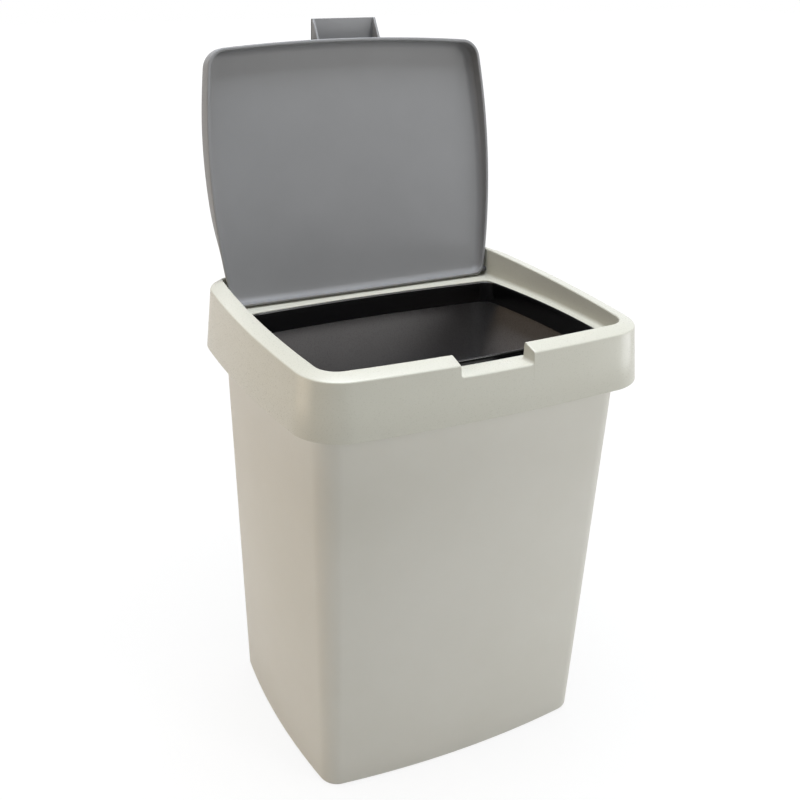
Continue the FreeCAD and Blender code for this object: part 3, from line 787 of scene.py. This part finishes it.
@dataclass
class Collar(Piece):
    """Lid frame: flared skirt, sloping rim, recess with a ledge and the finger notch.

    The rim's outer and inner rounds each turn to an angle where they meet its sloping top,
    and are sunk by a share of their radius so that the top runs on between them.
    """

    depth: float = 47.4
    flare: float = 4.8
    wall: float = 2.5
    rim_rise: float = 3.6
    rim_wall: float = 3.25
    outer_round: float = 1.5
    outer_turn: float = 72.0
    outer_sink: float = 0.78
    inner_round: float = 1.3
    inner_turn: float = 75.0
    inner_sink: float = 1.303
    ledge_fillet: float = 2.4
    ledge_thickness: float = 2.5
    mouth_round: float = 0.6
    mouth_steps: int = 3
    foot_round: float = 1.2
    foot_steps: int = 4
    foot_edge: float = 0.4
    round_steps: int = 6

    def sections(self) -> list[Section]:
        """List the collar's closed cross-section.

        Returns:
            The sections, from the skirt's foot up its outside and back inside.
        """
        foot = RIM - self.depth
        brow = RIM + self.rim_rise
        under = LEDGE - self.ledge_thickness
        result = []
        bend = self.foot_round
        for cosine, sine in arc_steps(-90, 0, self.foot_steps):
            outline = RIM_EDGE.grown(self.flare + bend * (cosine - 1))
            result.append(Section(outline, foot + bend * (1 + sine), 0.0))
        middle = (foot + RIM) / 2
        result.append(Section(RIM_EDGE.grown(self.flare / 2), middle, RIM_SLOPE / 2))
        bend = self.outer_round
        for cosine, sine in arc_steps(0, self.outer_turn, self.round_steps):
            height = RIM + bend * (sine - self.outer_sink)
            result.append(Section(RIM_EDGE.grown(bend * (cosine - 1)), height, RIM_SLOPE, Place.EDGE))
        bend = self.inner_round
        for cosine, sine in arc_steps(self.inner_turn, 180, self.round_steps):
            height = brow + bend * (sine - self.inner_sink)
            result.append(Section(RECESS.grown(bend * (1 + cosine)), height, RIM_SLOPE, Place.TOP))
        bend = self.ledge_fillet
        for cosine, sine in arc_steps(180, 270, self.round_steps):
            height = LEDGE + bend * (1 + sine)
            result.append(Section(RECESS.grown(-bend * (1 + cosine)), height, LEDGE_SLOPE, Place.TOP))
        bend = self.mouth_round
        for cosine, sine in arc_steps(90, 180, self.mouth_steps):
            outline = OPENING.grown(bend * (1 + cosine))
            result.append(Section(outline, LEDGE + bend * (sine - 1), LEDGE_SLOPE))
        lining = RECESS.grown(self.wall)
        skirt = RIM_EDGE.grown(self.flare - self.wall)
        skirt_foot = RIM_EDGE.grown(self.flare - self.wall + self.foot_edge)
        return result + [
            Section(OPENING, under, LEDGE_SLOPE),
            Section(RECESS, under, LEDGE_SLOPE),
            Section(RECESS, SEAT, 0.0),
            Section(lining, SEAT, 0.0),
            Section(lining, brow - self.rim_wall, RIM_SLOPE, Place.UNDER),
            Section(RIM_EDGE.grown(-self.wall), RIM - self.wall, RIM_SLOPE, Place.UNDER),
            Section(skirt, foot + self.foot_edge, 0.0),
            Section(skirt_foot, foot, 0.0),
        ]

    def ring(self, section: Section) -> Ring:
        """Lay one section, lowered to the notch's floor where the notch is.

        Args:
            section: Section to lay.

        Returns:
            The ring's points in metres.
        """
        spots = []
        for x, y in section.outline.points(notched=True):
            height = section.height + section.slope * y
            in_notch = y < 0 and abs(x) < NOTCH_HALF + NOTCH_EDGE
            if in_notch and section.place is not Place.PLAIN:
                x, y, height = self.lowered(section, x, y, height)
            spots.append(Vector((x, y, height)) * MM)
        return spots

    def lowered(self, section: Section, x: float, y: float, height: float) -> tuple[float, float, float]:
        """Move a point of the rim down to the notch, with rounded edges beside it.

        Args:
            section: Section that the point belongs to.
            x: Distance from the middle.
            y: Distance from the middle, rearwards.
            height: Height of the plain rim there.

        Returns:
            The point's new x, y and height.
        """
        floor = LEDGE + LEDGE_SLOPE * y
        drop = RIM + RIM_SLOPE * y - floor
        if section.place is Place.EDGE:
            low = height - drop
        elif section.place is Place.UNDER:
            low = min(height, floor - self.ledge_thickness)
        else:
            low = min(height, floor)
        fall = height - low
        inward = NOTCH_HALF - abs(x)
        if inward >= NOTCH_FILLET:
            depth = fall
        elif inward >= NOTCH_SLANT / 2:
            turn = 1 - inward / NOTCH_FILLET
            depth = fall - min(NOTCH_FILLET, fall / 2) * (1 - math.sqrt(max(1 - turn**2, 0)))
        else:
            turn = 1 + inward / NOTCH_EDGE
            depth = min(NOTCH_EDGE, fall / 2) * (1 - math.sqrt(max(1 - turn**2, 0)))
        if section.place is Place.EDGE:
            y -= self.flare * depth / self.depth
        return x, y, height - depth

    def build(self) -> bpy.types.Object:
        """Loft the cross-section round the mouth and close it on itself.

        Returns:
            The collar.
        """
        rings = [self.ring(section) for section in self.sections()]
        loft = RingLoft("collar_frame", rings[0])
        for ring in rings[1:]:
            loft.grow(ring)
        loft.grow(rings[0])
        return loft.finish()


@dataclass
class Lid(Piece):
    """Flap lid: a shallow pan with a falling top, a rounded foot and a ribbed finger tab.

    It is drawn shut with the hinge axis at the origin, and then stood open.
    """

    open_angle: float = 99.0
    half_width: float = 130.8
    front: float = 206.3
    tail: float = 5.15
    side_bow: float = 600.0
    front_bow: float = 1445.8
    rear_bow: float = 12000.0
    front_corner: float = 17.0
    rear_corner: float = 10.0
    inside_rear_corner: float = 9.0
    rim: float = 5.0
    swing: float = 5.25
    wall: float = 2.6
    front_depth: float = 16.0
    ridge_depth: float = 22.0
    tail_depth: float = 10.0
    ridge: float = 62.0
    tail_reach: float = 18.0
    tail_end: float = -40.0
    blend: float = 18.0
    edge_round: float = 4.5
    edge_steps: int = 7
    lip_round: float = 1.1
    lip_steps: int = 5
    lip_inner_round: float = 0.6
    lip_inner_steps: int = 3
    inside_round: float = 5.6
    inside_steps: int = 8
    foot_wall: float = 2.4
    foot_ceiling: float = 2.4
    draw: float = 7.5
    draw_reach: float = 150.0
    draw_power: float = 1.5
    tab_width: float = 57.6
    tab_reach: float = 16.5
    tab_root: float = 4.0
    tab_plate: float = 2.4
    tab_edge: float = 0.5
    tab_bend: float = 3.6
    rib_width: float = 2.2
    rib_depth: float = 14.5
    rib_root: float = 1.5
    rib_sink: float = 0.6
    rib_inset: float = 0.05

    def outline(self) -> Outline:
        """The lid's outline at its rim."""
        bows = (self.side_bow, self.front_bow, self.rear_bow)
        return Outline(self.half_width, self.front, self.tail, *bows, self.front_corner, self.rear_corner)

    def inside(self) -> Outline:
        """The outline of the pan's inside."""
        return Outline(
            self.half_width - self.wall,
            self.front - self.wall,
            self.tail - self.foot_wall,
            self.side_bow - self.wall,
            self.front_bow - self.wall,
            self.rear_bow,
            self.front_corner - self.wall,
            self.inside_rear_corner,
        )

    def top(self, y: float) -> float:
        """Work out the height of the lid's top, with its kinks rounded.

        Args:
            y: Distance behind the hinge axis.

        Returns:
            Height over the hinge axis.
        """
        reach = -y
        knots = [
            (self.tail_end, self.tail_depth - self.rim),
            (self.tail_reach, self.tail_depth - self.rim),
            (self.ridge, self.ridge_depth - self.rim),
            (self.front, self.front_depth - self.rim),
        ]
        slopes = [(high - low) / (far - near) for (near, low), (far, high) in zip(knots, knots[1:])]
        height = knots[0][1] + slopes[0] * (reach - knots[0][0])
        for (start, _), before, after in zip(knots[1:-1], slopes, slopes[1:]):
            past = reach - start
            if past >= self.blend:
                height += (after - before) * past
            elif past > -self.blend:
                height += (after - before) * (past + self.blend) ** 2 / (4 * self.blend)
        return height

    def ceiling(self, y: float) -> float:
        """Height of the pan's flat inside, which is a little shallower at the foot."""
        deep = self.front_depth - self.rim - self.wall
        return self.foot_ceiling + (deep - self.foot_ceiling) * max(-y, 0) / self.front

    def narrowing(self, y: float, z: float) -> float:
        """Work out how the outside is drawn in towards its back, near the hinge.

        Args:
            y: Distance behind the hinge axis.
            z: Height over the hinge axis.

        Returns:
            The share of the width that is left.
        """
        near = min(max((self.draw_reach + y) / self.draw_reach, 0), 1)
        share = (z + self.rim) / (self.top(y) + self.rim)
        return (self.half_width - self.draw * near**self.draw_power * share) / self.half_width

    def section(self, outline: Outline, height: Height, outside: bool = False) -> Ring:
        """Lay one ring of the pan, with a foot that is round about the hinge axis.

        Args:
            outline: Outline of the ring.
            height: Height at a point.
            outside: Whether the ring is on the lid's outside, which is drawn in.

        Returns:
            The ring's points in metres.
        """
        spots = []
        for x, y in outline.points():
            z = height(x, y)
            if outside:
                x *= self.narrowing(y, z)
            if y > 0 > z and math.hypot(y, z) > self.swing:
                share = self.swing / math.hypot(y, z)
                y, z = y * share, z * share
            spots.append(Vector((x, y, z)) * MM)
        return spots

    def panel(
        self, loft: RingLoft, outline: Outline, height: Callable[[float], float], outside: bool = False
    ) -> None:
        """Grow rings from the edge of a panel towards its middle, and close it.

        Args:
            loft: Loft whose last ring is the panel's edge.
            outline: Outline of the panel's edge.
            height: Height of the panel at a distance behind the hinge axis.
            outside: Whether the panel is the lid's outside, which is drawn in.
        """
        middle = (self.tail - self.front) / 2
        edge = outline.points()
        for step in range(1, PANEL_STEPS):
            share = 1 - step / PANEL_STEPS
            spots = []
            for x, y in edge:
                along = middle + (y - middle) * share
                rise = height(along)
                across = x * share
                if outside:
                    across *= self.narrowing(along, rise)
                spots.append(Vector((across, along, rise)) * MM)
            loft.grow(spots)
        loft.cap()

    def pan(self) -> bpy.types.Object:
        """Loft the pan from the middle of its top over the lip to the middle of its ceiling.

        Returns:
            The pan, shut, with the hinge axis at the origin.
        """
        outer, inner = self.outline(), self.inside()
        bend = self.edge_round
        rim = -self.rim
        rings = []
        for cosine, sine in arc_steps(90, 0, self.edge_steps):
            spot = outer.grown(bend * (cosine - 1))
            rings.append(self.section(spot, lambda x, y, s=sine: self.top(y) + bend * (s - 1), True))
        small = self.lip_round
        for cosine, sine in arc_steps(0, -90, self.lip_steps):
            rings.append(self.section(outer.grown(small * (cosine - 1)), level(rim + small * (1 + sine))))
        small = self.lip_inner_round
        for cosine, sine in arc_steps(-90, -180, self.lip_inner_steps):
            rings.append(self.section(inner.grown(small * (1 + cosine)), level(rim + small * (1 + sine))))
        soft = self.inside_round
        for cosine, sine in arc_steps(180, 90, self.inside_steps):
            spot = inner.grown(-soft * (1 + cosine))
            rings.append(self.section(spot, lambda x, y, s=sine: self.ceiling(y) + soft * (s - 1)))
        loft = RingLoft("lid_pan", rings[0])
        self.panel(loft, outer.grown(-bend), self.top, True)
        loft.reopen(rings[0])
        for ring in rings[1:]:
            loft.grow(ring)
        self.panel(loft, inner.grown(-soft), self.ceiling)
        return loft.finish()

    def slab(self, low: Sequence[float], high: Sequence[float]) -> bpy.types.Object:
        """Add a block between two corners, still to be shaped.

        Args:
            low: Lowest x, y and z in millimetres.
            high: Highest x, y and z in millimetres.

        Returns:
            The block.
        """
        deselect()
        bpy.ops.mesh.primitive_cube_add(size=1.0)
        block = bpy.context.object
        bpy.ops.object.mode_set(mode="EDIT")
        mesh = bmesh.from_edit_mesh(block.data)
        for vert in mesh.verts:
            share = [0.5 + c for c in vert.co]
            vert.co = Vector([a + (b - a) * t for a, b, t in zip(low, high, share)]) * MM
        bmesh.update_edit_mesh(block.data)
        bpy.ops.object.mode_set(mode="OBJECT")
        return block

    def tab(self) -> list[bpy.types.Object]:
        """Model the finger tab: a plate and two ribs that taper to its tip, leaning forward.

        Returns:
            The plate and the ribs.
        """
        root, tip = -self.front, -self.front - self.tab_reach
        top = self.front_depth - self.rim
        under = top - self.tab_plate
        half = self.tab_width / 2
        pieces = [self.slab((-half, tip, under), (half, root + self.tab_root, top))]
        for side in (-1, 1):
            left, right = sorted((side * half, side * (half - self.rib_width)))
            low = (left, tip + self.rib_inset, top - self.rib_depth)
            high = (right, root + self.rib_root, top - self.rib_sink)
            rib = self.slab(low, high)
            for vert in rib.data.vertices:
                if vert.co.y < root * MM and vert.co.z < under * MM:
                    vert.co.z = (under - self.rib_sink) * MM
            pieces.append(rib)
        for piece in pieces:
            for vert in piece.data.vertices:
                if vert.co.y < root * MM:
                    vert.co.z -= self.tab_bend * MM
            soften(piece, self.tab_edge)
        return pieces

    def build(self) -> bpy.types.Object:
        """Join pan and tab, and stand the lid open at the hinge.

        Returns:
            The lid.
        """
        pan = self.pan()
        extras = self.tab()
        deselect()
        for piece in extras:
            piece.select_set(True)
        pan.select_set(True)
        bpy.context.view_layer.objects.active = pan
        bpy.ops.object.join()
        pan.location = Vector((0, HINGE_Y, HINGE_Z)) * MM
        pan.rotation_euler = (-math.radians(self.open_angle), 0, 0)
        bpy.ops.object.transform_apply(location=True, rotation=True, scale=True)
        return pan


@dataclass
class HingePin(Piece):
    """Short pin that joins the lid's side wall to the collar's socket."""

    side: int = 1
    radius: float = 2.5
    inner: float = 122.0
    outer: float = 135.1
    end_round: float = 0.6
    facets: int = 40

    def build(self) -> bpy.types.Object:
        """Lay a bevelled rod along the hinge axis.

        Returns:
            The pin.
        """
        middle = self.side * (self.inner + self.outer) / 2
        deselect()
        bpy.ops.mesh.primitive_cylinder_add(
            vertices=self.facets,
            radius=self.radius * MM,
            depth=(self.outer - self.inner) * MM,
            location=Vector((middle, HINGE_Y, HINGE_Z)) * MM,
            rotation=(0, math.pi / 2, 0),
        )
        rod = bpy.context.object
        rod.name = self.node + "_rod"
        bpy.ops.object.transform_apply(location=True, rotation=True, scale=True)
        soften(rod, self.end_round)
        return rod


@dataclass(frozen=True)
class Lamp:
    """A soft panel light: place, aim and size in metres, power in watts, tint as sRGB hex."""

    name: str
    place: tuple[float, float, float]
    aim: tuple[float, float, float]
    size: tuple[float, float]
    power: float
    tint: str

    def install(self) -> None:
        """Hang the panel in the scene and turn it to its aim."""
        data = bpy.data.lights.new(self.name, "AREA")
        data.shape = "RECTANGLE"
        data.size, data.size_y = self.size
        data.energy = self.power
        data.color = linear(self.tint)[:3]
        lamp = bpy.data.objects.new(self.name, data)
        lamp.location = self.place
        lamp.rotation_euler = (Vector(self.aim) - Vector(self.place)).to_track_quat("-Z", "Y").to_euler()
        bpy.context.scene.collection.objects.link(lamp)


# Neutral light from above and from the front right, low fill from both sides, warm on the left
LAMPS = (
    Lamp("panel_top", (0.0, 0.06, 2.3), (0, 0.06, 0.3), (1.55, 1.55), 62, "F2F8FF"),
    Lamp("panel_front", (1.05, -2.0, 1.35), (0, 0, 0.3), (0.8, 0.8), 16.4, "FEFDFA"),
    Lamp("panel_left", (-1.2, 0.30, 0.17), (0, 0, 0.2), (0.9, 0.3), 2.95, "FFEBD0"),
    Lamp("panel_side", (-1.2, 0.12, 0.95), (0, 0.1, 0.42), (0.4, 0.3), 1.9, "FFDBAA"),
    Lamp("panel_right", (1.30, -0.60, 0.17), (0, 0, 0.2), (0.9, 0.3), 4.6, "FBFDFF"),
)


@dataclass
class Studio:
    """Pale floor, soft light from large panels, and the camera.

    The camera's distances are in millimetres, the floor's in metres.
    """

    azimuth: float = -26.12
    elevation: float = 23.94
    roll: float = 0.6
    distance: float = 875.61
    target_side: float = -43.68
    target_height: float = 287.1
    lens: float = 47.25
    sensor: float = 36.0
    clip_end: float = 50.0
    shift: tuple[float, float] = (0.05, 0.0032)
    world_light: float = 0.13
    floor_size: float = 16.0
    floor_colour: str = "DADAD8"
    floor_glow: float = 1.06
    shadow_near: float = 0.3
    shadow_far: float = 1.1
    glow_share_near: float = 0.8

    def camera(self) -> None:
        """Set the camera at the photograph's viewing angle."""
        turn, lift, roll = (math.radians(v) for v in (self.azimuth, self.elevation, self.roll))
        back = Vector((math.sin(turn) * math.cos(lift), -math.cos(turn) * math.cos(lift), math.sin(lift)))
        side = Vector((math.cos(turn), math.sin(turn), 0))
        upward = back.cross(side)
        right = side * math.cos(roll) + upward * math.sin(roll)
        top = upward * math.cos(roll) - side * math.sin(roll)
        target = Vector((0, 0, self.target_height)) + side * self.target_side
        place = (target + back * self.distance) * MM
        data = bpy.data.cameras.new("camera")
        data.sensor_width = self.sensor
        data.lens = self.lens
        data.shift_x, data.shift_y = self.shift
        data.clip_end = self.clip_end
        camera = bpy.data.objects.new("camera", data)
        camera.matrix_world = Matrix.Translation(place) @ Matrix((right, top, back)).transposed().to_4x4()
        bpy.context.scene.collection.objects.link(camera)
        bpy.context.scene.camera = camera

    def seen(self, tree: bpy.types.NodeTree) -> bpy.types.NodeSocket:
        """Add nodes that tell the rays that see the backdrop, straight or in a reflection.

        Args:
            tree: Node tree that takes the nodes.

        Returns:
            Socket that gives one for such rays and zero for the others.
        """
        path = add_node(tree, "ShaderNodeLightPath")
        result = path.outputs["Is Camera Ray"]
        for kind in ("Is Glossy Ray", "Is Transmission Ray"):
            either = {0: result, 1: path.outputs[kind]}
            result = add_node(tree, "ShaderNodeMath", {"operation": "MAXIMUM"}, either).outputs[0]
        return result

    def floor(self) -> None:
        """Lay a wide pale floor that looks white and keeps a soft shadow."""
        deselect()
        bpy.ops.mesh.primitive_plane_add(size=self.floor_size, location=(0, 0, 0))
        ground = bpy.context.object
        ground.name = "studio_floor"
        # Matt white paper: plain white far off, with a faint shadow close to the base
        paint = blank_material("studio_paper_white")
        tree = paint.node_tree
        matt = add_node(tree, "ShaderNodeBsdfDiffuse", inputs={"Color": linear(self.floor_colour)})
        white = {"Color": (1, 1, 1, 1), "Strength": self.floor_glow}
        glow = add_node(tree, "ShaderNodeEmission", inputs=white)
        place = add_node(tree, "ShaderNodeTexCoord").outputs["Object"]
        away = add_node(tree, "ShaderNodeVectorMath", {"operation": "LENGTH"}, {0: place})
        fade = add_node(
            tree,
            "ShaderNodeMapRange",
            inputs={
                "Value": away.outputs["Value"],
                "From Min": self.shadow_near,
                "From Max": self.shadow_far,
                "To Min": self.glow_share_near,
            },
        )
        share = add_node(
            tree,
            "ShaderNodeMath",
            {"operation": "MULTIPLY"},
            {0: self.seen(tree), 1: fade.outputs["Result"]},
        )
        mix = add_node(
            tree,
            "ShaderNodeMixShader",
            inputs={0: share.outputs[0], 1: matt.outputs[0], 2: glow.outputs[0]},
        )
        add_node(tree, "ShaderNodeOutputMaterial", inputs={"Surface": mix.outputs[0]})
        ground.data.materials.append(paint)

    def world(self) -> None:
        """Surround the scene with dim white light that looks plain white itself."""
        world = bpy.data.worlds.new("studio_world")
        world.use_nodes = True
        tree = world.node_tree
        tree.nodes.clear()
        power = add_node(
            tree,
            "ShaderNodeMapRange",
            inputs={"Value": self.seen(tree), "To Min": self.world_light, "To Max": 1.0},
        )
        sky = add_node(
            tree,
            "ShaderNodeBackground",
            inputs={"Color": (1, 1, 1, 1), "Strength": power.outputs["Result"]},
        )
        add_node(tree, "ShaderNodeOutputWorld", inputs={"Surface": sky.outputs[0]})
        bpy.context.scene.world = world

    def build(self) -> None:
        """Set up floor, light and camera."""
        self.floor()
        self.world()
        for lamp in LAMPS:
            lamp.install()
        self.camera()
        bpy.context.scene.view_settings.view_transform = "Standard"


def main() -> None:
    """Build the pieces in order and set up the studio."""
    logging.basicConfig(level=logging.INFO, format="%(name)s: %(message)s")
    pieces = [
        OuterBody("outer_body", "base", "body_plastic", BODY_FINISH),
        InnerBucket("inner_bucket", "bucket", "bucket_plastic", BUCKET_FINISH),
        BagRing("bag_ring", "ring", "ring_plastic", RING_FINISH),
        Collar("collar", "frame_top", "collar_plastic", COLLAR_FINISH),
        Lid("lid", "flap", "lid_plastic", LID_FINISH),
        HingePin("hinge_pin_right", "flap", "pin_plastic", PIN_FINISH, 1),
        HingePin("hinge_pin_left", "flap", "pin_plastic", PIN_FINISH, -1),
    ]
    for piece in pieces:
        piece.install()
    Studio().build()


if __name__ == "__main__":
    main()
